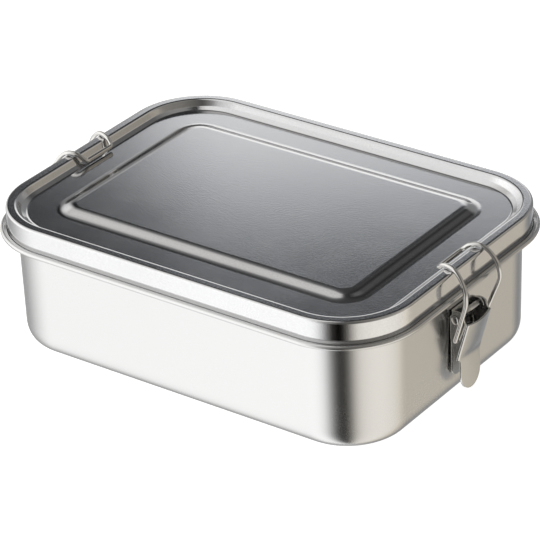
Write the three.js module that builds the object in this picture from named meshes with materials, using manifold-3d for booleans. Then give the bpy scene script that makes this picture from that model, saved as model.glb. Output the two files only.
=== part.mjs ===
// A drawn steel lunch box: tub with a folded bead and neck, lid with a seal, and a draw latch at each end.
// Units are millimetres, +Z up, X along the long side. The origin is on the table under the tub's centre.
import * as THREE from 'three';
import { mergeVertices } from 'three/addons/utils/BufferGeometryUtils.js';
import Module from 'manifold-3d';

const wasm = await Module();
wasm.setup();

// Sheet and overall sizes
const sheet = 0.7;
const height = 63.66;
const quarterSteps = 10;

// Lid: half sizes to the skirt's outer face
const skirtX = 99.9;
const skirtY = 73.96;
const skirtCorner = 32.9;
const skirtBottom = 53.7;
const rimRound = 1.8;
const panelZ = 60.15;
const wellFoot = 8.0;
const wellMouth = 4.7;
const plateauX = 78.2;
const plateauY = 51.6;
const plateauCorner = 12;
const plateauSlope = 6.6;
const plateauRise = 2.05;

// Tub: half sizes to the wall's outer face under the collar
const wallX = 95.7;
const wallY = 69.1;
const wallCorner = 28.3;
const wallDraft = 0.7;
const footFillet = 9.55;
const collarTop = 53.25;
const collarThick = 0.9;
const beadOut = 34.53;
const beadRadius = 1.3;
const beadZ = 53.55;
const neckOut = 30.9;
const neckTop = 58.2;

// Seal in the lid's channel
const sealIn = 29.3;
const sealOut = 31.7;
const sealBottom = 58.5;
const sealTop = 62.65;

// Draw latch, for the right end: pin and bail pivots in X and Z
const pin = { x: 99.0, z: 40.1, radius: 1.3, headRadius: 2.0, headIn: 9.25, headOut: 9.9 };
const bailPivot = { x: 99.4, z: 30.5, half: 10.3, inner: 7.55 };
const wireRadius = 1.0;
const leverHalf = 9.0;
const leverSheet = 0.8;
const leverBend = 2.0;
const leverTop = { x: 105.3, z: 39.0 };
const leverKnee = { x: 100.2, z: 21.0 };
const leverTip = { x: 101.0, z: 5.0 };
const tongueHalf = 7.3;
const earIn = 7.1;
const earOut = 7.9;
const plateBack = 96.0;
const plateFront = 96.8;
const plateHalf = 7.9;
const plateTop = 43.2;
const plateBottom = 12.0;
const runningGap = 0.06;

// Turns a three.js geometry into a manifold solid
function solidOf(geometry) {
  geometry.deleteAttribute('normal');
  geometry.deleteAttribute('uv');
  const welded = mergeVertices(geometry, 1e-4);
  const mesh = new wasm.Mesh({
    numProp: 3,
    vertProperties: new Float32Array(welded.attributes.position.array),
    triVerts: new Uint32Array(welded.index.array),
  });
  return new wasm.Manifold(mesh);
}

// Turns a manifold solid into a named three.js mesh
function meshOf(name, solid, look) {
  const out = solid.getMesh();
  const geometry = new THREE.BufferGeometry();
  const stride = out.numProp;
  const points = new Float32Array(out.vertProperties.length / stride * 3);
  for (let i = 0; i < points.length / 3; i += 1) {
    points[i * 3] = out.vertProperties[i * stride];
    points[i * 3 + 1] = out.vertProperties[i * stride + 1];
    points[i * 3 + 2] = out.vertProperties[i * stride + 2];
  }
  geometry.setAttribute('position', new THREE.BufferAttribute(points, 3));
  geometry.setIndex(new THREE.BufferAttribute(new Uint32Array(out.triVerts), 1));
  geometry.computeVertexNormals();
  const mesh = new THREE.Mesh(geometry, new THREE.MeshStandardMaterial(look));
  mesh.name = name;
  return mesh;
}

// Points on an arc, angles in degrees, first and last included
function arc(x, z, radius, from, to, steps) {
  return Array.from({ length: steps + 1 }, (_, i) => {
    const angle = THREE.MathUtils.degToRad(from + (to - from) * i / steps);
    return [x + radius * Math.cos(angle), z + radius * Math.sin(angle)];
  });
}

// Joins the parts of a profile and drops a point that repeats the one before it
function profileOf(...parts) {
  return parts.flat().filter((p, i, all) => {
    const last = all[i - 1];
    return i === 0 || Math.hypot(p[0] - last[0], p[1] - last[1]) > 1e-3;
  });
}

// A flat shape in the XZ plane, extruded along Y from low to high
function slabXZ(points, low, high, holes = []) {
  const shape = new THREE.Shape(points.map(([x, z]) => new THREE.Vector2(x, z)));
  for (const hole of holes) {
    const path = new THREE.Path();
    path.absarc(hole.x, hole.z, hole.radius, 0, Math.PI * 2, true);
    shape.holes.push(path);
  }
  const geometry = new THREE.ExtrudeGeometry(shape, {
    depth: high - low,
    bevelEnabled: false,
    curveSegments: 16,
  });
  geometry.rotateX(Math.PI / 2);
  geometry.translate(0, high, 0);
  return solidOf(geometry);
}

// A flat shape in the YZ plane, extruded along X from low to high
function slabYZ(points, low, high) {
  const shape = new THREE.Shape(points.map(([y, z]) => new THREE.Vector2(y, z)));
  const geometry = new THREE.ExtrudeGeometry(shape, { depth: high - low, bevelEnabled: false });
  geometry.rotateZ(Math.PI / 2);
  geometry.rotateY(Math.PI / 2);
  geometry.translate(low, 0, 0);
  return solidOf(geometry);
}

// A rounded rectangle's solid: the profile [r, z] turned about each corner's centre and run along the sides
function ringSolid(centreX, centreY, profile) {
  const zLow = profile[0][1];
  const zHigh = profile[profile.length - 1][1];
  const turned = profileOf([[0, zLow]], profile, [[0, zHigh]]);
  const lathePoints = turned.map(([r, z]) => new THREE.Vector2(r, z));
  let solid = null;
  for (const [sx, sy] of [[1, 1], [-1, 1], [-1, -1], [1, -1]]) {
    const geometry = new THREE.LatheGeometry(lathePoints, quarterSteps * 4);
    geometry.rotateX(Math.PI / 2);
    geometry.translate(sx * centreX, sy * centreY, 0);
    const corner = solidOf(geometry);
    solid = solid ? solid.add(corner) : corner;
  }
  const across = (centre) => {
    const right = profile.map(([r, z]) => [centre + r, z]);
    const left = profile.map(([r, z]) => [-centre - r, z]).reverse();
    return right.concat(left);
  };
  const alongY = slabXZ(across(centreX), -centreY, centreY);
  const alongX = slabYZ(across(centreY), -centreX, centreX);
  return solid.add(alongY).add(alongX);
}

// A straight-sided rounded rectangle between two heights
function ringBlock(centreX, centreY, radius, low, high) {
  return ringSolid(centreX, centreY, [[radius, low], [radius, high]]);
}

const lidX = skirtX - skirtCorner;
const lidY = skirtY - skirtCorner;
const tubX = wallX - wallCorner;
const tubY = wallY - wallCorner;

// Outer or inner face of the tub's wall, with its draft and the foot's fillet
function wallSolid(inset, top) {
  const low = wallCorner - wallDraft - inset;
  const fillet = footFillet - inset;
  const profile = profileOf(
    arc(low - fillet, inset + fillet, fillet, -90, 0, 8),
    [[wallCorner - inset, top]],
  );
  return ringSolid(tubX, tubY, profile);
}

function buildTub() {
  const beadLow = beadZ - beadRadius;
  const slab = ringSolid(lidX, lidY, profileOf(
    [[beadOut - 1.0, collarTop - collarThick]],
    arc(beadOut, beadZ, beadRadius, -90, 90, 10),
  ).filter(([, z]) => z >= beadLow - 1e-6));
  const groove = ringSolid(lidX, lidY, profileOf(
    [[beadOut - Math.sqrt(beadRadius ** 2 - (beadZ - collarTop) ** 2), collarTop]],
    arc(beadOut, beadZ, beadRadius, 180, 90, 6),
    [[beadOut, beadZ + beadRadius + 2]],
  ));
  const neck = ringBlock(lidX, lidY, neckOut, collarTop - 0.2, neckTop);
  const outside = wallSolid(0, collarTop - 0.1).add(slab).subtract(groove).add(neck);
  const inside = wallSolid(sheet, collarTop + 0.5);
  const throat = ringBlock(lidX, lidY, neckOut - sheet, collarTop, neckTop + 2);
  return outside.subtract(inside).subtract(throat);
}

// The raised field on the lid, or its hollow underside when dropped by the sheet's thickness
function plateauSolid(drop) {
  const top = panelZ + plateauRise - drop;
  const low = plateauCorner;
  const high = plateauCorner - plateauSlope;
  return ringSolid(plateauX - plateauCorner, plateauY - plateauCorner, [
    [low, panelZ - 1 - drop],
    [low, panelZ - drop],
    [low - 0.6, panelZ + 0.1 - drop],
    [high + 1.4, top - 0.3],
    [high + 0.5, top - 0.06],
    [high - 0.4, top],
  ]);
}

function buildLid() {
  const foot = skirtCorner - wellFoot;
  const mouth = skirtCorner - wellMouth;
  const outside = ringSolid(lidX, lidY, profileOf(
    [[skirtCorner, skirtBottom]],
    arc(skirtCorner - rimRound, height - rimRound, rimRound, 0, 90, 6),
  ));
  const well = ringSolid(lidX, lidY, [
    [foot, panelZ],
    [foot + 0.7, panelZ + 0.35],
    [mouth - 0.4, height - 0.5],
    [mouth + 0.2, height - 0.12],
    [mouth + 0.9, height],
    [mouth + 0.9, height + 2],
  ]);
  const inner = skirtCorner - sheet;
  const cavity = ringSolid(lidX, lidY, profileOf(
    [[inner, skirtBottom - 2]],
    arc(inner - 1.1, height - sheet - 1.1, 1.1, 0, 90, 4),
  ));
  const core = ringSolid(lidX, lidY, [
    [foot + 0.5, panelZ - sheet],
    [foot + 1.1, panelZ - sheet + 0.35],
    [mouth + 0.6, height - 0.6],
    [mouth + 0.6, height + 1],
  ]);
  const shell = outside.subtract(well).subtract(cavity.subtract(core));
  return shell.add(plateauSolid(0)).subtract(plateauSolid(sheet));
}

function buildSeal() {
  const outer = ringSolid(lidX, lidY, [
    [sealOut - 0.4, sealBottom],
    [sealOut, sealBottom + 0.5],
    [sealOut - 0.1, sealTop - 0.5],
    [sealOut - 0.5, sealTop],
  ]);
  return outer.subtract(ringBlock(lidX, lidY, sealIn, sealBottom - 1, sealTop + 1));
}

// The plate welded to the end wall, with two ears folded out round the pin
function buildBracket() {
  const corner = 3.5;
  const outline = [
    [plateHalf, plateTop],
    [-plateHalf, plateTop],
    ...arc(-plateHalf + corner, plateBottom + corner, corner, 180, 270, 5),
    ...arc(plateHalf - corner, plateBottom + corner, corner, 270, 360, 5),
  ];
  let solid = slabYZ(outline, plateBack, plateFront);
  const ear = [
    [plateBack + 0.2, plateTop],
    [plateBack + 0.2, pin.z - 6.5],
    [plateFront + 0.6, pin.z - 6.3],
    ...arc(pin.x, pin.z, 3.3, -40, 90, 8),
  ];
  const hole = { x: pin.x, z: pin.z, radius: pin.radius + runningGap };
  for (const side of [-1, 1]) {
    const low = side > 0 ? earIn : -earOut;
    solid = solid.add(slabXZ(ear, low, low + earOut - earIn, [hole]));
  }
  return solid;
}

// The rivet through the ears and the lever's flanges, a head at each end
function buildPin() {
  const profile = [
    [0, -pin.headOut],
    [pin.headRadius - 0.4, -pin.headOut],
    [pin.headRadius, -pin.headIn - 0.25],
    [pin.headRadius, -pin.headIn],
    [pin.radius, -pin.headIn],
    [pin.radius, pin.headIn],
    [pin.headRadius, pin.headIn],
    [pin.headRadius, pin.headIn + 0.25],
    [pin.headRadius - 0.4, pin.headOut],
    [0, pin.headOut],
  ];
  const geometry = new THREE.LatheGeometry(profile.map(([r, y]) => new THREE.Vector2(r, y)), 24);
  geometry.translate(pin.x, 0, pin.z);
  return solidOf(geometry);
}

// The lever's cross-section: a channel with rounded bends, its back on v = 0
function channelShape(depth) {
  const inner = leverBend - leverSheet;
  const right = [
    ...arc(leverHalf - leverBend, -leverBend, leverBend, 90, 0, 5),
    [leverHalf, -depth],
    [leverHalf - leverSheet, -depth],
    ...arc(leverHalf - leverBend, -leverBend, inner, 0, 90, 5),
  ];
  const left = right.map(([u, v]) => [-u, v]).reverse();
  return right.concat(left);
}

function buildLever() {
  const tilt = Math.atan2(leverTop.x - leverKnee.x, leverTop.z - leverKnee.z);
  const shape = new THREE.Shape(channelShape(13).map(([u, v]) => new THREE.Vector2(v, u)));
  const channel = new THREE.ExtrudeGeometry(shape, { depth: 34, bevelEnabled: false });
  channel.translate(0, 0, -6);
  channel.rotateY(tilt);
  channel.translate(leverKnee.x, 0, leverKnee.z);
  const side = slabXZ([
    [leverTop.x + 2.5, leverTop.z - 0.2],
    [leverTop.x - 0.4, leverTop.z + 0.2],
    ...arc(pin.x + 3.0, pin.z + 0.2, 2.8, 10, 90, 5),
    ...arc(pin.x, pin.z, 2.9, 88, 170, 5),
    ...arc(bailPivot.x, bailPivot.z, 2.9, 180, 235, 4),
    [leverKnee.x - 1.0, leverKnee.z + 0.6],
    [leverKnee.x - 1.0, leverKnee.z],
    [leverKnee.x + 4, leverKnee.z],
  ], -20, 20);
  const run = leverTip.x - leverKnee.x;
  const tongueSide = [
    [leverKnee.x, leverKnee.z + 1.2],
    [leverKnee.x - leverSheet, leverKnee.z + 1.2],
    [leverKnee.x - leverSheet - 0.04, leverKnee.z],
    [leverTip.x - leverSheet, leverTip.z - 1],
    [leverTip.x, leverTip.z - 1],
    [leverKnee.x + 0.05, leverKnee.z],
  ];
  const mid = leverTip.z + tongueHalf;
  const front = slabYZ([
    [tongueHalf + 0.3, leverKnee.z + 3],
    [-tongueHalf - 0.3, leverKnee.z + 3],
    ...arc(0, mid, tongueHalf, 180, 360, 14),
  ], leverKnee.x - 6, leverKnee.x + 6 + run);
  const tongue = slabXZ(tongueSide, -12, 12).intersect(front);
  let solid = solidOf(channel).intersect(side).add(tongue);
  for (const hole of [pin, { x: bailPivot.x, z: bailPivot.z, radius: wireRadius }]) {
    const bore = new THREE.CylinderGeometry(hole.radius + runningGap, hole.radius + runningGap, 40, 24);
    bore.translate(hole.x, 0, hole.z);
    solid = solid.subtract(solidOf(bore));
  }
  return solid;
}

// The wire bail: hooked ends in the lever, bowed legs, and a crossbar dropped inside the lid's rim
function buildBail() {
  const leg = [
    [bailPivot.x, bailPivot.inner, bailPivot.z],
    [bailPivot.x, bailPivot.half - 1.3, bailPivot.z],
    [bailPivot.x + 0.12, bailPivot.half - 0.35, bailPivot.z + 0.25],
    [bailPivot.x + 0.45, bailPivot.half + 0.05, bailPivot.z + 1.3],
    [101.8, 11.05, 37.5],
    [104.2, 11.9, 44.5],
    [106.1, 12.7, 50.0],
    [106.4, 12.9, 53.0],
    [105.7, 12.7, 57.6],
    [103.5, 12.15, 61.6],
    [100.4, 11.5, 64.5],
    [97.2, 10.9, 65.4],
    [94.0, 10.1, 64.7],
    [91.8, 9.3, 63.0],
    [90.8, 8.2, 62.1],
    [90.66, 6.4, 62.05],
  ];
  const far = leg.map(([x, y, z]) => new THREE.Vector3(x, y, z));
  const near = leg.map(([x, y, z]) => new THREE.Vector3(x, -y, z)).reverse();
  const path = new THREE.CatmullRomCurve3(far.concat(near), false, 'centripetal');
  const shape = new THREE.Shape();
  shape.absarc(0, 0, wireRadius, 0, Math.PI * 2, false);
  const geometry = new THREE.ExtrudeGeometry(shape, {
    steps: 84,
    extrudePath: path,
    bevelEnabled: false,
    curveSegments: 10,
  });
  return solidOf(geometry);
}

const steel = { color: 0xc4c2bd, metalness: 1, roughness: 0.28 };
const bright = { color: 0xd4d3d0, metalness: 1, roughness: 0.15 };
const rubber = { color: 0xd9dadb, metalness: 0, roughness: 0.6 };

const group = new THREE.Group();
group.name = 'lunch_box';
group.add(meshOf('tub', buildTub(), steel));
group.add(meshOf('lid', buildLid(), steel));
group.add(meshOf('lid_seal', buildSeal(), rubber));
const ends = [['right', 1], ['left', -1]];
const latchPieces = [
  ['bracket', buildBracket(), steel],
  ['pin', buildPin(), bright],
  ['lever', buildLever(), steel],
  ['bail', buildBail(), bright],
];
for (const [end, sign] of ends) {
  for (const [piece, solid, look] of latchPieces) {
    const placed = sign > 0 ? solid : solid.mirror([1, 0, 0]);
    group.add(meshOf(`${end}_${piece}`, placed, look));
  }
}

export default group;
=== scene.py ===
import math

import bmesh
import bpy
import numpy as np
from mathutils import Matrix


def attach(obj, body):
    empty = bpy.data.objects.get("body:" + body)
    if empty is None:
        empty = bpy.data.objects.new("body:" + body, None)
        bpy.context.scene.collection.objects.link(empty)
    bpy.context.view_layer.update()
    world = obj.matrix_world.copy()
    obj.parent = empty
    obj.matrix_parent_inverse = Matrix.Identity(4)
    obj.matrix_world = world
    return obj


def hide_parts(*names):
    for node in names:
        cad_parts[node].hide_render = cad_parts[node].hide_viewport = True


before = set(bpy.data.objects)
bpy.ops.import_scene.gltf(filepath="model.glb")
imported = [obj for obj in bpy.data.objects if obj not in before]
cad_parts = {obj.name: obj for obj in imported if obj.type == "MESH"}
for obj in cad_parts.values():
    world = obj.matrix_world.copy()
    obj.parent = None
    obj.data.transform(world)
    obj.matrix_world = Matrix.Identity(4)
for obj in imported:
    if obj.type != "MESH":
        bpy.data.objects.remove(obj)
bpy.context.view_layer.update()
scene = bpy.context.scene
mm = 0.001


# A grid of points, rows by columns, becomes quads; a row whose points all coincide becomes one point and
# a fan.
def gridMesh(name, grid, wrap=False, flip=False):
    rows, cols = grid.shape[:2]
    spread = np.ptp(grid, axis=1).max(axis=1)
    pole = spread < 1e-9
    starts = np.concatenate([[0], np.cumsum(np.where(pole, 1, cols))])
    points = np.concatenate([grid[i, :1] if pole[i] else grid[i] for i in range(rows)])
    span = cols if wrap else cols - 1
    j = np.arange(span)
    k = (j + 1) % cols
    faces = []
    for i in range(rows - 1):
        a, b = starts[i], starts[i + 1]
        if pole[i] and pole[i + 1]:
            continue
        if pole[i]:
            strip = np.stack([np.full(span, a), b + k, b + j], 1)
        elif pole[i + 1]:
            strip = np.stack([a + j, a + k, np.full(span, b)], 1)
        else:
            strip = np.stack([a + j, a + k, b + k, b + j], 1)
        faces += (strip[:, ::-1] if flip else strip).tolist()
    mesh = bpy.data.meshes.new(name)
    mesh.from_pydata((points * mm).tolist(), [], faces)
    mesh.validate()
    mesh.update()
    mesh.polygons.foreach_set("use_smooth", [True] * len(mesh.polygons))
    thing = bpy.data.objects.new(name, mesh)
    scene.collection.objects.link(thing)
    return thing


# A line through corners, each corner eased by a parabola that leaves the sides `ease` away from it,
# with a support point just outside each ease so the flats stay flat when shaded smooth.
def easedLine(corners, eases, steps=9, support=0.25):
    corners = np.array(corners, float)
    t = np.linspace(0, 1, steps)[:, None]
    out = [corners[:1], beside(corners[0], corners[1])]
    for before, here, after, ease in zip(corners[:-2], corners[1:-1], corners[2:], eases):
        toBefore = (before - here) / np.linalg.norm(before - here)
        toAfter = (after - here) / np.linalg.norm(after - here)
        out.append((here + toBefore * (ease + support))[None])
        out.append(here + toBefore * ease * (1 - t) ** 2 + toAfter * ease * t ** 2)
        out.append((here + toAfter * (ease + support))[None])
    out += [beside(corners[-1], corners[-2]), corners[-1:]]
    return np.concatenate(out)


# A point a little way along from an open end, so that the end's own shading stays there
def beside(end, inward, gap=0.18):
    return (end + (inward - end) / np.linalg.norm(inward - end) * gap)[None]


# A loop round a rounded rectangle: a quarter circle of directions at each corner and a straight run
# between two corners. It gives where the core stands, as shares of its half sides, and which way each
# point faces.
def loopOf(cornerSteps=28, sideSteps=22):
    turn = np.linspace(0, 0.5 * math.pi, cornerSteps + 1)
    run = np.sin(np.linspace(-0.5 * math.pi, 0.5 * math.pi, sideSteps + 2))[1:-1]
    shareX, shareY, angle = [], [], []
    for q, (sx, sy) in enumerate([(1, 1), (-1, 1), (-1, -1), (1, -1)]):
        along = q * 0.5 * math.pi
        shareX += [np.full(turn.size, sx), -run * sx if q % 2 == 0 else np.full(run.size, sx)]
        shareY += [np.full(turn.size, sy), np.full(run.size, sy) if q % 2 == 0 else -run * sy]
        angle += [along + turn, np.full(run.size, along + 0.5 * math.pi)]
    angle = np.concatenate(angle)
    return np.concatenate(shareX), np.concatenate(shareY), np.cos(angle), np.sin(angle)


# A profile [centreX, centreY, out, height] carried round that loop: each point stands `out` from the
# rounded rectangle's core, straight out from it.
def carriedRing(name, profile, flip=False):
    shareX, shareY, faceX, faceY = loopOf()
    cx, cy, out, height = (profile[:, i:i + 1] for i in range(4))
    x = cx * shareX + out * faceX
    y = cy * shareY + out * faceY
    z = height + 0 * shareX
    return gridMesh(name, np.stack([x, y, z], -1), wrap=True, flip=flip)


# Several grids that share edges become one sheet: points that coincide are merged
def patchedMesh(name, grids, flip=False):
    parts = [gridMesh(name, grid, flip=flip) for grid in grids]
    built = bmesh.new()
    for part in parts:
        built.from_mesh(part.data)
    bmesh.ops.remove_doubles(built, verts=built.verts, dist=0.003 * mm)
    for part in parts[1:]:
        bpy.data.objects.remove(part)
    built.to_mesh(parts[0].data)
    built.free()
    parts[0].data.polygons.foreach_set("use_smooth", [True] * len(parts[0].data.polygons))
    return parts[0]


# Sheet thickness put behind the surface, then a small round on its edges
def asSheet(thing, thickness, edge=0.0, even=True):
    wall = thing.modifiers.new("sheet", "SOLIDIFY")
    wall.thickness = thickness * mm
    wall.offset = -1
    wall.use_even_offset = even
    if edge:
        soft = thing.modifiers.new("edge", "BEVEL")
        soft.width = edge * mm
        soft.segments = 2
        soft.limit_method = "ANGLE"
        soft.angle_limit = math.radians(50)
    return thing


# A finished piece gets its material, the CAD nodes it stands for and the body that carries it; its finish
# slot is not used
def settle(thing, body, slot, material, *nodes):
    thing.data.materials.append(material)
    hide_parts(*nodes)
    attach(thing, body)
    return thing


# A node material, its tree and its shader
def newMaterial(name):
    material = bpy.data.materials.new(name)
    material.use_nodes = True
    tree = material.node_tree
    return material, tree, tree.nodes["Principled BSDF"]


# Joins one socket to another
def link(tree, a, b):
    tree.links.new(a, b)


# One sum, each side a number or a socket
def mathNode(tree, operation, a, b):
    node = tree.nodes.new("ShaderNodeMath")
    node.operation = operation
    for socket, value in zip(node.inputs, (a, b)):
        if isinstance(value, (int, float)):
            socket.default_value = value
        else:
            link(tree, value, socket)
    return node.outputs[0]


# Soft noise, `scale` cells to the metre
def noiseNode(tree, coords, scale, detail):
    node = tree.nodes.new("ShaderNodeTexNoise")
    node.inputs["Scale"].default_value = scale
    node.inputs["Detail"].default_value = detail
    link(tree, coords, node.inputs["Vector"])
    return node.outputs["Fac"]


# A value carried from one span to another, straight or eased
def rangeNode(tree, value, low, high, fromLow=0.3, fromHigh=0.7, smooth=False):
    node = tree.nodes.new("ShaderNodeMapRange")
    if smooth:
        node.interpolation_type = "SMOOTHSTEP"
    for socket, number in zip(node.inputs[1:5], (fromLow, fromHigh, low, high)):
        socket.default_value = number
    link(tree, value, node.inputs[0])
    return node.outputs[0]


# What every steel here shares: how far the fine grain changes gloss, and how deep grain and waves are in
# metres
steelGrain = {"gloss": 0.02, "fineDepth": 0.00002, "waveDepth": 0.0005}


# Stainless steel: a faint clouding of tint and gloss, fine grain, and the slow waviness of drawn sheet
def steelMaterial(name, look):
    material, tree, shader = newMaterial(name)
    coords = tree.nodes.new("ShaderNodeTexCoord").outputs["Object"]
    shader.inputs["Metallic"].default_value = 1.0
    cloud = noiseNode(tree, coords, look["cloudScale"], 3)
    tint = tree.nodes.new("ShaderNodeMix")
    tint.data_type = "RGBA"
    tint.inputs["A"].default_value = (*look["tintLow"], 1)
    tint.inputs["B"].default_value = (*look["tintHigh"], 1)
    grain = noiseNode(tree, coords, look["grainScale"], 2)
    mottle = mathNode(tree, "ADD", rangeNode(tree, cloud, 0.3, 0.7), rangeNode(tree, grain, -0.5, 0.5))
    link(tree, mottle, tint.inputs["Factor"])
    link(tree, tint.outputs["Result"], shader.inputs["Base Color"])
    rough = mathNode(tree, "ADD", rangeNode(tree, cloud, -look["roughSpread"], look["roughSpread"]),
                     rangeNode(tree, grain, -steelGrain["gloss"], steelGrain["gloss"]))
    rough = mathNode(tree, "ADD", rough, look["roughness"])
    link(tree, rough, shader.inputs["Roughness"])
    fine = tree.nodes.new("ShaderNodeBump")
    fine.inputs["Strength"].default_value = look["grainStrength"]
    fine.inputs["Distance"].default_value = steelGrain["fineDepth"]
    link(tree, grain, fine.inputs["Height"])
    wave = tree.nodes.new("ShaderNodeBump")
    wave.inputs["Strength"].default_value = look["waveStrength"]
    wave.inputs["Distance"].default_value = steelGrain["waveDepth"]
    link(tree, noiseNode(tree, coords, look["waveScale"], 1), wave.inputs["Height"])
    link(tree, fine.outputs["Normal"], wave.inputs["Normal"])
    link(tree, wave.outputs["Normal"], shader.inputs["Normal"])
    return material


bodySteel = steelMaterial("drawn steel", {
    "tintLow": (0.66, 0.66, 0.655), "tintHigh": (0.69, 0.69, 0.685), "cloudScale": 28,
    "roughness": 0.25, "roughSpread": 0.015, "grainScale": 2600, "grainStrength": 0.25,
    "waveScale": 14, "waveStrength": 0.12,
})
lidSteel = steelMaterial("lid steel", {
    "tintLow": (0.64, 0.64, 0.645), "tintHigh": (0.70, 0.70, 0.705), "cloudScale": 34,
    "roughness": 0.1, "roughSpread": 0.01, "grainScale": 1700, "grainStrength": 0.5,
    "waveScale": 16, "waveStrength": 0.02,
})
latchSteel = steelMaterial("pressed latch steel", {
    "tintLow": (0.60, 0.60, 0.59), "tintHigh": (0.66, 0.66, 0.65), "cloudScale": 160,
    "roughness": 0.2, "roughSpread": 0.03, "grainScale": 4200, "grainStrength": 0.35,
    "waveScale": 90, "waveStrength": 0.1,
})
wireSteel = steelMaterial("bright wire", {
    "tintLow": (0.62, 0.61, 0.59), "tintHigh": (0.68, 0.67, 0.65), "cloudScale": 200,
    "roughness": 0.09, "roughSpread": 0.02, "grainScale": 5200, "grainStrength": 0.2,
    "waveScale": 220, "waveStrength": 0.05,
})


# Milky silicone that lets a little light in, with a soft uneven gloss
def siliconeMaterial():
    material, tree, shader = newMaterial("silicone")
    coords = tree.nodes.new("ShaderNodeTexCoord").outputs["Object"]
    shader.inputs["Base Color"].default_value = (0.80, 0.82, 0.83, 1)
    shader.inputs["Subsurface Weight"].default_value = 0.25
    shader.inputs["Subsurface Radius"].default_value = (0.004, 0.004, 0.004)
    link(tree, rangeNode(tree, noiseNode(tree, coords, 900, 3), 0.42, 0.56), shader.inputs["Roughness"])
    return material


silicone = siliconeMaterial()
print("materials made")


tub = {
    "coreX": 67.4, "coreY": 40.8, "wallOut": 28.3, "draft": 0.7, "footEase": 9.0, "beadCoreX": 67.0,
    "beadCoreY": 41.06, "beadOut": 34.73, "beadRadius": 1.1, "beadZ": 53.2, "beadFrom": -105,
    "beadTo": 118, "beadSteps": 24, "collarUnder": 52.15, "collarIn": 0.6, "collarEase": 1.2,
    "shoulderOut": 33.1, "shoulderZ": 53.75, "lipWide": 0.35, "lipHigh": 0.1, "grooveDeep": 0.7,
    "neckOut": 30.9, "neckTop": 58.2, "sheet": 0.42, "edge": 0.08, "floorLoop": 4, "floorEase": 2.0,
}


# The sheet's profile runs from the middle of the floor, out round the foot and up the drafted wall, then
# round an arc of a circle for the bead, down into the groove that the lid's skirt stands in, and up the
# neck
def buildTub():
    cx, cy = tub["coreX"], tub["coreY"]
    bx, by = tub["beadCoreX"], tub["beadCoreY"]
    foot = tub["wallOut"] - tub["draft"]
    lower = easedLine([
        [0, 0, 0, 0.0],
        [cx, cy, tub["floorLoop"], 0.0],
        [cx, cy, foot, 0.0],
        [cx, cy, tub["wallOut"], tub["collarUnder"]],
        [bx, by, tub["beadOut"] - tub["collarIn"], tub["collarUnder"]],
    ], [tub["floorEase"], tub["footEase"], tub["collarEase"]], steps=14)
    turn = np.radians(np.linspace(tub["beadFrom"], tub["beadTo"], tub["beadSteps"]))
    bead = np.stack([
        np.full(turn.size, bx), np.full(turn.size, by),
        tub["beadOut"] + tub["beadRadius"] * np.cos(turn),
        tub["beadZ"] + tub["beadRadius"] * np.sin(turn),
    ], 1)
    groove = tub["shoulderZ"] - tub["grooveDeep"]
    upper = easedLine([
        [bx, by, tub["shoulderOut"] + tub["lipWide"], tub["shoulderZ"] + tub["lipHigh"]],
        [bx, by, tub["shoulderOut"], tub["shoulderZ"]],
        [bx, by, tub["shoulderOut"] - 0.1, groove],      # leans in a little
        [bx, by, tub["neckOut"], groove],
        [bx, by, tub["neckOut"], tub["neckTop"]],
    ], [0.1, 0.4, 0.5], steps=6, support=0.05)
    profile = np.concatenate([lower, bead, upper])
    return asSheet(carriedRing("tubBody", profile), tub["sheet"], tub["edge"], False)


settle(buildTub(), "tub", "drawn_steel", bodySteel, "tub")
print("tub made")


lid = {
    "coreX": 67.0, "coreY": 41.06, "skirtOut": 32.9, "skirtBottom": 53.2, "top": 63.95, "rimEase": 1.3,
    "mouthOut": 28.3, "mouthEase": 0.8, "ledgeOut": 26.3, "ledgeZ": 61.4, "ledgeEase": 0.25,
    "footOut": 24.1, "footEase": 0.5, "panelZ": 60.15, "sheet": 0.55, "edge": 0.1, "fieldCoreX": 66.2,
    "fieldCoreY": 39.6, "fieldOut": 11.0, "fieldSlope": 4.7, "fieldRise": 2.05, "fieldEase": 1.8,
    "innerShare": 0.9, "innerOut": 2.0, "innerEase": 0.8,
}


# The sheet's profile runs up the skirt, over the flat rim, down the well by its ledge, across the panel,
# up the slope and over the raised field to its middle
def buildLid():
    cx, cy = lid["coreX"], lid["coreY"]
    fx, fy = lid["fieldCoreX"], lid["fieldCoreY"]
    high = lid["panelZ"] + lid["fieldRise"]
    profile = easedLine([
        [cx, cy, lid["skirtOut"], lid["skirtBottom"]],
        [cx, cy, lid["skirtOut"], lid["top"]],
        [cx, cy, lid["mouthOut"], lid["top"]],
        [cx, cy, lid["ledgeOut"], lid["ledgeZ"]],
        [cx, cy, lid["footOut"], lid["panelZ"]],
        [fx, fy, lid["fieldOut"], lid["panelZ"]],
        [fx, fy, lid["fieldOut"] - lid["fieldSlope"], high],
        [fx * lid["innerShare"], fy * lid["innerShare"], lid["innerOut"], high],
        [0, 0, 0, high],
    ], [
        lid["rimEase"], lid["mouthEase"], lid["ledgeEase"], lid["footEase"],
        lid["fieldEase"], lid["fieldEase"], lid["innerEase"],
    ], steps=12, support=0.15)
    return asSheet(carriedRing("lidCover", profile), lid["sheet"], lid["edge"], False)


settle(buildLid(), "lid", "drawn_steel", lidSteel, "lid")
print("lid made")


seal = {
    "inner": 29.3, "outer": 31.7, "bottom": 58.45, "top": 62.65, "power": 0.35, "lip": 0.22, "waves": 3,
    "sides": 40, "underside": -0.9,
}


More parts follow.
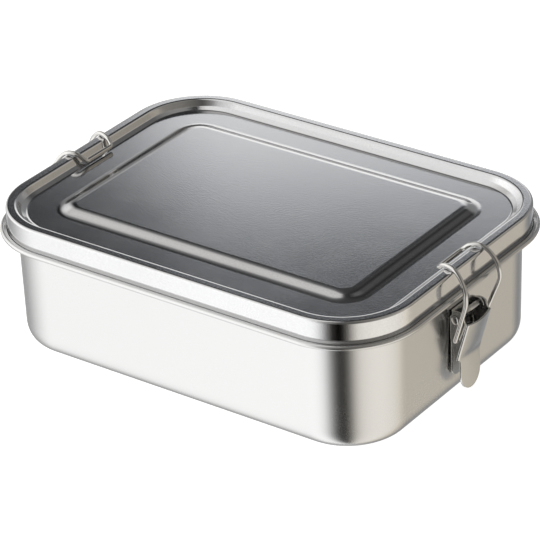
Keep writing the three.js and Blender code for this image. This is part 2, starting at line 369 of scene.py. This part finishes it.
# A closed band with lips: a circle whose sine and cosine are raised to a small power, which makes it a
# rounded box, with a cosine ripple along its underside
def buildSeal():
    turn = np.linspace(0, 2 * math.pi, seal["sides"], endpoint=False)
    halfOut = 0.5 * (seal["outer"] - seal["inner"])
    halfUp = 0.5 * (seal["top"] - seal["bottom"])
    outward = np.sign(np.cos(turn)) * np.abs(np.cos(turn)) ** seal["power"]
    upward = np.sign(np.sin(turn)) * np.abs(np.sin(turn)) ** seal["power"]
    ripple = seal["lip"] * np.cos(seal["waves"] * math.pi * outward) * (upward < seal["underside"])
    profile = np.stack([
        np.full(turn.size, lid["coreX"]), np.full(turn.size, lid["coreY"]),
        seal["inner"] + halfOut * (1 + outward),
        seal["bottom"] + halfUp * (1 + upward) + ripple,
    ], 1)
    return carriedRing("sealRing", np.concatenate([profile, profile[:1]]))


settle(buildSeal(), "lid", "seal", silicone, "lid_seal")
print("seal made")


# The latch pieces are worked out for the +X end and mirrored for the other
pin = {
    "x": 99.0, "z": 40.1, "radius": 1.3, "head": 2.0, "headIn": 9.25, "headOut": 9.9,
    "rim": 0.15, "chamfer": 0.1, "sides": 32,
}
wire = {
    "radius": 1.0, "sides": 18, "pivotX": 99.4, "pivotZ": 30.5, "half": 10.3, "inner": 7.55,
    "capSteps": 6, "perSpan": 8,
}
lever = {
    "topX": 105.3, "topZ": 39.0, "kneeX": 100.2, "kneeZ": 21.0, "kneeSoft": 1.2, "kneeDrop": 0.6,
    "tipX": 101.0, "tipZ": 5.0, "flat": 7.8, "tongue": 7.3, "bend": 1.2, "crown": 0.75, "crownLow": 0.3,
    "scoop": 1.0, "sheet": 0.8, "edge": 0.15, "fadeDown": 3, "fadeUp": 5, "neckDown": 1.5, "brow": 39.8,
    "browX": 103.2, "browHigh": 3.3, "crestX": 100.6, "crestZ": 43.1, "eye": 3.0, "eyeIn": 0.3,
    "heelX": 96.4, "heelZ": 31.0, "heelSoft": 0.35, "heelIn": 0.2,
}
bracket = {
    "backX": 96.0, "sheet": 0.8, "edge": 0.12, "half": 7.9, "top": 43.2, "bottom": 12.0,
    "cornerRound": 3.5, "bend": 0.85, "earRound": 3.3, "earLow": 33.6, "earWide": 0.2, "earFull": 38.0,
    "flareOut": 4.6, "flareUp": 4.4, "notch": 0.5, "weldY": 4.2, "weldZ": 19.5, "weldRadius": 1.5,
    "weldDeep": 0.2,
}


# 0 below low, 1 above high, and the cubic 3t^2 - 2t^3 between
def smoothStep(value, low, high):
    t = np.clip((value - low) / (high - low), 0, 1)
    return t * t * (3 - 2 * t)


# A smooth line through points: each span is a cubic that leaves every point along its neighbours' chord
def curveThrough(points, perSpan):
    p = np.concatenate([2 * points[:1] - points[1:2], points, 2 * points[-1:] - points[-2:-1]])
    t = np.linspace(0, 1, perSpan, endpoint=False)[None, :, None]
    a, b, c, d = (p[i:len(p) - 3 + i][:, None] for i in range(4))
    square = 2 * a - 5 * b + 4 * c - d
    cube = 3 * b - a - 3 * c + d
    spans = 0.5 * (2 * b + (c - a) * t + square * t ** 2 + cube * t ** 3)
    return np.concatenate([spans.reshape(-1, points.shape[1]), points[-1:]])


# A round wire: a circle carried along a line, kept from twisting by handing its side direction on from
# point to point, with each end drawn in to a point over a quarter round
def carriedWire(name, line):
    radius, caps = wire["radius"], wire["capSteps"]
    forward = np.gradient(line, axis=0)
    forward /= np.linalg.norm(forward, axis=1, keepdims=True)
    side = np.zeros_like(forward)
    side[0] = np.cross(forward[0], [0.0, 0.0, 1.0])
    for i in range(1, len(side)):      # each station takes the side direction of the one before it
        side[i] = side[i - 1] - forward[i] * np.dot(side[i - 1], forward[i])
        side[i] /= np.linalg.norm(side[i])
    side[0] /= np.linalg.norm(side[0])
    up = np.cross(forward, side)
    ends = np.radians(np.linspace(90, 0, caps))
    pull, grow = np.sin(ends) * radius, np.cos(ends)
    head = line[:1] - forward[:1] * (pull[:, None] - pull[-1])
    tail = line[-1:] + forward[-1:] * (pull[::-1, None] - pull[-1])
    line = np.concatenate([head, line, tail])
    side = np.concatenate([np.repeat(side[:1], caps, 0), side, np.repeat(side[-1:], caps, 0)])
    up = np.concatenate([np.repeat(up[:1], caps, 0), up, np.repeat(up[-1:], caps, 0)])
    size = radius * np.concatenate([grow, np.ones(len(line) - 2 * caps), grow[::-1]])
    size[0] = size[-1] = 0
    keep = np.concatenate([[True], np.linalg.norm(np.diff(line, axis=0), axis=1) > 1e-6])
    line, side, up, size = line[keep], side[keep], up[keep], size[keep]
    turn = np.linspace(0, 2 * math.pi, wire["sides"], endpoint=False)[None, :, None]
    ring = np.cos(turn) * side[:, None] + np.sin(turn) * up[:, None]
    return gridMesh(name, line[:, None] + ring * size[:, None, None], wrap=True)


# The bail: from the eye in the lever's flange out and up along one leg, over the rim and down into the
# well, along the crossbar, and back the same way on the other side
def buildBail(name):
    leg = np.array([
        [wire["pivotX"], wire["inner"], wire["pivotZ"]],
        [wire["pivotX"], wire["half"] - 1.5, wire["pivotZ"]],
        [wire["pivotX"] + 0.05, wire["half"] - 0.55, wire["pivotZ"] + 0.2],
        [wire["pivotX"] + 0.4, wire["half"] + 0.02, wire["pivotZ"] + 1.2],
        [101.8, 11.05, 37.5],
        [104.2, 11.9, 44.5],
        [106.0, 12.65, 49.8],
        [106.45, 12.9, 53.0],
        [105.7, 12.7, 57.6],
        [103.6, 12.2, 61.5],
        [100.4, 11.5, 64.5],
        [97.2, 10.9, 65.4],
        [94.0, 10.1, 64.7],
        [91.8, 9.3, 63.0],
        [90.8, 8.2, 62.1],
        [90.66, 6.4, 62.05],
        [90.66, 2.4, 62.05],
    ])
    whole = np.concatenate([leg, leg[::-1] * [1, -1, 1]])
    return carriedWire(name, curveThrough(whole, wire["perSpan"]))


# The rivet: a profile turned about the line along Y through the pivot, domed at both heads
def buildPin(name):
    dome = np.radians(np.linspace(90, 0, 7))
    thick = pin["headOut"] - pin["headIn"]
    headY = pin["headIn"] + pin["rim"] + (thick - pin["rim"]) * np.sin(dome)
    headR = pin["head"] * np.cos(dome)
    headR[0] = 0
    y = np.concatenate([headY, [pin["headIn"], pin["headIn"]]])
    r = np.concatenate([headR, [pin["head"] - pin["chamfer"], pin["radius"]]])
    y, r = np.concatenate([y, -y[::-1]]), np.concatenate([r, r[::-1]])
    turn = np.linspace(0, 2 * math.pi, pin["sides"], endpoint=False)
    x = pin["x"] + r[:, None] * np.cos(turn)
    z = pin["z"] + r[:, None] * np.sin(turn)
    return gridMesh(name, np.stack([x, np.repeat(y[:, None], turn.size, 1), z], -1), wrap=True)


# The lever's back stands in X on two straight lines that meet softly at the knee: half their difference
# times the height above it, plus half their sum times a hyperbola
def leverBack(z):
    slant = (lever["topX"] - lever["kneeX"]) / (lever["topZ"] - lever["kneeZ"])
    flare = (lever["tipX"] - lever["kneeX"]) / (lever["kneeZ"] - lever["tipZ"])
    above = z - lever["kneeZ"]
    bent = np.sqrt(above ** 2 + lever["kneeSoft"]) - lever["kneeDrop"]
    return lever["kneeX"] + 0.5 * ((slant - flare) * above + (slant + flare) * bent)


# The flange's front edge: the fold line up to the back's top, then a round over to the flat top
def flangeFront(z):
    top, brow = lever["topZ"], lever["brow"]
    over = np.clip((z - brow) / lever["browHigh"], 0, 1)
    fold = leverBack(z) - lever["bend"]
    rise = np.interp(z, [top, brow], [leverBack(top) - lever["bend"], lever["browX"]])
    arc = lever["crestX"] + (lever["browX"] - lever["crestX"]) * np.sqrt(1 - over ** 2)
    return np.where(z < top, fold, np.where(z < brow, rise, arc))


# The flange's rear edge: round about the rivet, straight down, a blunt corner by the wire's hole, then to
# the knee
def flangeRear(z):
    up = np.clip(z - pin["z"], 0, lever["eye"] - 0.01)
    knee, heel, soft = lever["kneeX"] - lever["bend"], lever["heelX"], lever["heelSoft"]
    share = np.clip((z - lever["kneeZ"]) / (lever["heelZ"] - lever["kneeZ"]), 0, 1)
    line = knee + (heel - knee) * share
    blunt = 0.5 * (line + heel + np.sqrt((line - heel) ** 2 + soft)) - lever["heelIn"]
    return np.where(z > pin["z"], pin["x"] - np.sqrt(lever["eye"] ** 2 - up ** 2) + lever["eyeIn"], blunt)


# The lever: back, two fold strips and two flanges run down from its top to the knee, the tongue below it
def buildLever(name):
    rows = 64
    across = np.sin(np.linspace(-0.5, 0.5, 41) * math.pi)
    t = np.linspace(0, 1, rows)[:, None]
    crown = lever["crown"] * (1 - across ** 2)
    top = lever["topZ"] - lever["scoop"] * (1 - across ** 2)
    z = top + (lever["kneeZ"] - top) * t
    ease = smoothStep(z, lever["kneeZ"] - lever["fadeDown"], lever["kneeZ"] + lever["fadeUp"])
    bulge = crown * (lever["crownLow"] + (1 - lever["crownLow"]) * ease)
    grids = [np.stack([leverBack(z) + bulge, across * lever["flat"] + 0 * z, z], -1)]
    z = lever["kneeZ"] * t + lever["topZ"] * (1 - t)
    turn = np.linspace(0, 0.5 * math.pi, 9)
    f = np.linspace(0, 1, 22)
    rise = np.linspace(lever["crestZ"], lever["topZ"], 15)[:-1, None]
    tall = np.concatenate([rise, z])
    for side in (-1, 1):
        x = leverBack(z) - lever["bend"] * (1 - np.cos(turn))
        y = side * (lever["flat"] + lever["bend"] * np.sin(turn))
        strip = np.stack([x, y + 0 * x, z + 0 * x], -1)
        x = flangeFront(tall) * (1 - f) + flangeRear(tall) * f
        flange = np.stack([x, side * (lever["flat"] + lever["bend"]) + 0 * x, tall + 0 * x], -1)
        grids += [strip, flange] if side > 0 else [strip[:, ::-1], flange[:, ::-1]]
    radius = lever["tongue"]
    low = lever["tipZ"] + radius - np.sqrt(np.maximum(radius ** 2 * (1 - across ** 2), 0))
    z = lever["kneeZ"] + (low - lever["kneeZ"]) * t
    ease = smoothStep(z, lever["kneeZ"] - lever["fadeDown"], lever["kneeZ"] + lever["fadeUp"])
    bulge = crown * (lever["crownLow"] + (1 - lever["crownLow"]) * ease)
    narrow = smoothStep(-z, -lever["kneeZ"], lever["neckDown"] - lever["kneeZ"])
    wide = lever["flat"] + (radius - lever["flat"]) * narrow
    grids.append(np.stack([leverBack(z) + bulge, across * wide, z], -1))
    return asSheet(patchedMesh(name, grids, flip=True), lever["sheet"], lever["edge"])


# The bracket: plate, fold strips and ears from its top to the ears' lower end, then the lower plate with
# rounded corners and two shallow dents where it is welded
def buildBracket(name):
    half, rounding = bracket["half"], bracket["cornerRound"]
    across = np.sin(np.linspace(-0.5, 0.5, 57) * math.pi)
    flat = half - bracket["bend"]
    t = np.linspace(0, 1, 46)[:, None]
    z = bracket["top"] + (bracket["earLow"] - bracket["top"]) * t
    back = bracket["backX"]
    y = across * flat
    grids = [np.stack([back + 0 * z * y, y + 0 * z, z + 0 * y], -1)]
    turn = np.linspace(0, 0.5 * math.pi, 7)
    f = np.linspace(0, 1, 20)
    arc = pin["x"] + np.sqrt(np.maximum(bracket["earRound"] ** 2 - (z - pin["z"]) ** 2, 0))
    slope = back + bracket["bend"] + bracket["earWide"]
    slope = slope + bracket["flareOut"] * (z - bracket["earLow"]) / bracket["flareUp"]
    edge = np.where(z > bracket["earFull"], arc, np.minimum(slope, arc))
    for side in (-1, 1):
        x = back + bracket["bend"] * (1 - np.cos(turn)) + 0 * z
        strip = np.stack([x, side * (flat + bracket["bend"] * np.sin(turn)) + 0 * x, z + 0 * x], -1)
        x = (back + bracket["bend"]) * (1 - f) + edge * f
        ear = np.stack([x, side * half + 0 * x, z + 0 * x], -1)
        grids += [strip, ear] if side > 0 else [strip[:, ::-1], ear[:, ::-1]]
    spread = across * half
    past = np.maximum(np.abs(spread) - (half - rounding), 0)
    low = bracket["bottom"] + rounding - np.sqrt(rounding ** 2 - past ** 2)
    high = bracket["earLow"] - bracket["notch"] * smoothStep(np.abs(spread), flat - 0.2, flat + 0.1)
    z = high + (low - high) * np.linspace(0, 1, 70)[:, None]
    away = (np.abs(spread) - bracket["weldY"]) ** 2 + (z - bracket["weldZ"]) ** 2
    dents = bracket["weldDeep"] * np.exp(-(away / bracket["weldRadius"] ** 2) ** 2)
    grids.append(np.stack([back - dents, spread + 0 * z, z], -1))
    return asSheet(patchedMesh(name, grids), bracket["sheet"], bracket["edge"])


makers = [
    ("Bracket", buildBracket, "tub", "drawn_steel", latchSteel, "bracket"),
    ("Rivet", buildPin, "tub", "bright_steel", wireSteel, "pin"),
    ("Lever", buildLever, "lever", "drawn_steel", latchSteel, "lever"),
    ("Bail", buildBail, "bail", "bright_steel", wireSteel, "bail"),
]
for end, mirrored in (("right", False), ("left", True)):
    for label, maker, body, slot, material, node in makers:
        thing = maker(end + label)
        if mirrored:
            thing.data.transform(Matrix.Scale(-1, 4, (1, 0, 0)))
            thing.data.flip_normals()
        settle(thing, body if body == "tub" else f"{end}_{body}", slot, material, f"{end}_{node}")
print("latches made")


camera = {
    "azimuth": 36.54, "elevation": 28.84, "roll": -2.294, "distance": 1.3031, "lens": 203.6,
    "target": (-0.00038, 0.0, 0.03023), "sensor": 36, "near": 0.05, "far": 60,
}


# The camera stands off its target by a bearing and a height angle, tipped a little about its own line of
# sight
def buildCamera():
    a, e, roll = (math.radians(camera[k]) for k in ("azimuth", "elevation", "roll"))
    back = np.array([math.sin(a) * math.cos(e), -math.cos(a) * math.cos(e), math.sin(e)])
    level = np.array([math.cos(a), math.sin(a), 0.0])
    upright = np.cross(back, level)
    right = level * math.cos(roll) + upright * math.sin(roll)
    up = upright * math.cos(roll) - level * math.sin(roll)
    data = bpy.data.cameras.new("camera")
    data.lens = camera["lens"]
    data.sensor_width = camera["sensor"]
    data.clip_start, data.clip_end = camera["near"], camera["far"]
    thing = bpy.data.objects.new("camera", data)
    scene.collection.objects.link(thing)
    place = np.eye(4)
    place[:3, 0], place[:3, 1], place[:3, 2] = right, up, back
    place[:3, 3] = np.array(camera["target"]) + back * camera["distance"]
    thing.matrix_world = Matrix(place.tolist())
    scene.camera = thing


floor = {"half": 6.0, "colour": (0.86, 0.86, 0.86), "glow": 0.85, "roughness": 0.9, "specular": 0.1}


# A pale floor that the camera sees. What the steel mirrors comes from the room alone.
def buildFloor():
    h = floor["half"]
    mesh = bpy.data.meshes.new("floor")
    mesh.from_pydata([(-h, -h, 0), (h, -h, 0), (h, h, 0), (-h, h, 0)], [], [(0, 1, 2, 3)])
    thing = bpy.data.objects.new("floor", mesh)
    scene.collection.objects.link(thing)
    material, tree, shader = newMaterial("pale floor")
    shader.inputs["Base Color"].default_value = (*floor["colour"], 1)
    shader.inputs["Roughness"].default_value = floor["roughness"]
    shader.inputs["Specular IOR Level"].default_value = floor["specular"]
    shader.inputs["Emission Color"].default_value = (1, 1, 1, 1)
    shader.inputs["Emission Strength"].default_value = floor["glow"]
    mesh.materials.append(material)
    thing.visible_glossy = False


# The room as light by direction, in degrees: round the compass below the horizon, above it and overhead,
# and up the back, where a pale wall gives way to a dark ceiling. Each stop is an angle, a brightness and
# a warmth. The other pairs are the angles over which one part of the room fades into the next.
room = {
    "low": [(-180, 0.62, 0), (-164, 0.92, 0), (-153, 1.13, 0), (-142, 1.30, 0), (-126, 1.45, 0),
            (-112, 1.43, 0), (-103, 1.36, 0), (-96, 1.14, 0), (-89, 0.72, 0), (-82, 0.26, 0.3),
            (-75, 0.04, 0.8), (-66, 0.0, 1), (-60, 0.02, 1), (-53, 0.16, 1), (-46, 0.56, 1),
            (-38, 0.94, 0.9), (-28, 1.06, 0.8), (-12, 1.13, 0.8), (4, 1.14, 0.8), (22, 1.06, 0.8),
            (38, 0.98, 1.4), (47, 0.74, 1.6), (62, 0.62, 1.6), (72, 0.40, 0.6), (82, 0.26, -0.3),
            (100, 0.42, -0.3), (115, 0.6, 0), (145, 0.6, 0), (160, 0.4, 0), (180, 0.62, 0)],
    "high": [(-180, 1.3, 0.1), (-160, 1.48, 0.1), (-137, 1.5, 0.1), (-112, 1.45, 0.1), (-98, 1.0, 0.1),
             (-84, 0.4, 0.3), (-65, 0.10, 0.5), (-40, 0.14, 0.8), (-12, 0.34, 1), (15, 0.42, 1),
             (38, 0.6, 1.6), (46, 0.88, 1.6), (56, 0.95, 1.6), (64, 0.75, 0.9), (72, 0.42, 0.4),
             (80, 0.28, 0.1), (90, 0.25, 0), (112, 0.3, -0.3), (128, 0.08, 0), (140, 0.30, 0),
             (150, 0.85, 0.1), (165, 1.1, 0.1), (180, 1.3, 0.1)],
    "top": [(-180, 1.05, 0.1), (-165, 1.1, 0.1), (-130, 1.0, 0.1), (-112, 0.9, 0.1), (-98, 0.7, 0.1),
            (-84, 0.3, 0.3), (-65, 0.10, 0.5), (-12, 0.25, 1), (40, 0.3, 1), (58, 0.40, 0.6),
            (68, 0.34, 0.4), (77, 0.22, 0.2), (88, 0.08, 0), (100, 0.03, 0), (126, 0.06, 0),
            (136, 0.12, 0), (143, 0.25, 0), (149, 0.5, 0.2), (155, 0.72, 0.4), (165, 0.72, 0.4),
            (172, 0.85, 0.3), (180, 1.05, 0.1)],
    "back": [(-12, 0.6, 0), (-4, 0.95, 0), (8, 1.3, 0.1), (20, 1.15, 0.1), (25.3, 1.1, 0),
             (26.5, 0.95, -0.3), (27.2, 0.72, -0.6), (27.9, 0.32, -0.9), (28.4, 0.14, -1.1),
             (29.5, 0.08, -1.1), (31, 0.08, -0.7), (36, 0.06, 0), (50, 0.05, 0), (90, 0.3, 0)],
    "full": 1.6, "skewFrom": 127.3, "skew": 0.5, "warmGreen": 0.05, "warmBlue": 0.13,
    "horizon": (-20, -7), "overhead": (30, 41), "backFrom": (106, 119), "backTo": (136, 146),
    "firstShade": 0.42, "firstOver": (128.1, 129.9), "nextShade": 0.38, "nextOver": (130.2, 134.5),
    "nearShade": 0.28, "nearOver": (123.5, 126.8), "nearUp": (27.6, 28.6),
    "dusk": 0.62, "duskFrom": (34, 42), "duskTo": (64, 74), "duskUp": (26, 40),
}


# A ramp over an angle; warmth takes a little green and more blue away
def angleRamp(tree, angle, stops):
    first, last = stops[0][0], stops[-1][0]
    node = tree.nodes.new("ShaderNodeValToRGB")
    link(tree, rangeNode(tree, angle, 0, 1, first, last), node.inputs["Fac"])
    marks = node.color_ramp.elements
    for n, (at, bright, warmth) in enumerate(stops):
        place = (at - first) / (last - first)
        mark = marks[0] if n == 0 else marks[-1] if n == len(stops) - 1 else marks.new(place)
        mark.position = place
        level = bright / room["full"]
        green, blue = 1 - room["warmGreen"] * warmth, 1 - room["warmBlue"] * warmth
        mark.color = (level, level * green, level * blue, 1)
    return node.outputs["Color"]


# One colour where the share is 0 and the other where it is 1
def blend(tree, share, a, b):
    node = tree.nodes.new("ShaderNodeMix")
    node.data_type = "RGBA"
    for socket, value in (("Factor", share), ("A", a), ("B", b)):
        link(tree, value, node.inputs[socket])
    return node.outputs["Result"]


# One even grey
def flatColour(tree, level):
    node = tree.nodes.new("ShaderNodeRGB")
    node.outputs[0].default_value = (level, level, level, 1)
    return node.outputs[0]


# The world: a direction's compass bearing is its angle about Z and its height is its angle above level.
# Low, high, back and overhead parts fade into one another, with darker stretches at the rear right and
# the rear left.
def buildRoom():
    world = bpy.data.worlds.new("room")
    scene.world = world
    world.use_nodes = True
    tree = world.node_tree
    tree.nodes.clear()
    parts = tree.nodes.new("ShaderNodeSeparateXYZ")
    link(tree, tree.nodes.new("ShaderNodeTexCoord").outputs["Generated"], parts.inputs[0])
    x, y, z = parts.outputs
    compass = mathNode(tree, "MULTIPLY", mathNode(tree, "ARCTAN2", y, x), 180 / math.pi)
    height = mathNode(tree, "MULTIPLY", mathNode(tree, "ARCSINE", z, 0), 180 / math.pi)
    past = mathNode(tree, "MAXIMUM", mathNode(tree, "SUBTRACT", compass, room["skewFrom"]), 0)
    skewed = mathNode(tree, "ADD", height, mathNode(tree, "MULTIPLY", past, room["skew"]))
    low = angleRamp(tree, compass, room["low"])
    high = angleRamp(tree, compass, room["high"])
    back = angleRamp(tree, skewed, room["back"])
    black = flatColour(tree, 0.0)
    first = rangeNode(tree, compass, 0, room["firstShade"], *room["firstOver"], smooth=True)
    after = rangeNode(tree, compass, 0, room["nextShade"], *room["nextOver"], smooth=True)
    near = mathNode(tree, "MULTIPLY", rangeNode(tree, compass, room["nearShade"], 0, *room["nearOver"]),
                    rangeNode(tree, height, 0, 1, *room["nearUp"]))
    back = blend(tree, mathNode(tree, "ADD", mathNode(tree, "ADD", first, after), near), back, black)
    behind = mathNode(tree, "MULTIPLY", rangeNode(tree, compass, 0, 1, *room["backFrom"], smooth=True),
                      rangeNode(tree, compass, 1, 0, *room["backTo"], smooth=True))
    between = mathNode(tree, "MULTIPLY", rangeNode(tree, compass, 0, 1, *room["duskFrom"]),
                       rangeNode(tree, compass, 1, 0, *room["duskTo"]))
    dusk = mathNode(tree, "MULTIPLY", between, rangeNode(tree, height, room["dusk"], 0, *room["duskUp"]))
    high = blend(tree, dusk, high, black)
    overhead = rangeNode(tree, height, 0, 1, *room["overhead"], smooth=True)
    upper = blend(tree, overhead, blend(tree, behind, high, back), angleRamp(tree, compass, room["top"]))
    colour = blend(tree, rangeNode(tree, height, 0, 1, *room["horizon"], smooth=True), low, upper)
    background = tree.nodes.new("ShaderNodeBackground")
    background.inputs["Strength"].default_value = room["full"]
    link(tree, colour, background.inputs["Color"])
    plain = tree.nodes.new("ShaderNodeBackground")      # what the camera itself sees past the floor
    plain.inputs["Color"].default_value = (1, 1, 1, 1)
    lit = tree.nodes.new("ShaderNodeMixShader")
    link(tree, tree.nodes.new("ShaderNodeLightPath").outputs["Is Camera Ray"], lit.inputs[0])
    link(tree, background.outputs[0], lit.inputs[1])
    link(tree, plain.outputs[0], lit.inputs[2])
    output = tree.nodes.new("ShaderNodeOutputWorld")
    link(tree, lit.outputs[0], output.inputs["Surface"])


scene.view_settings.view_transform = "Standard"
buildCamera()
buildFloor()
buildRoom()
print("studio made")
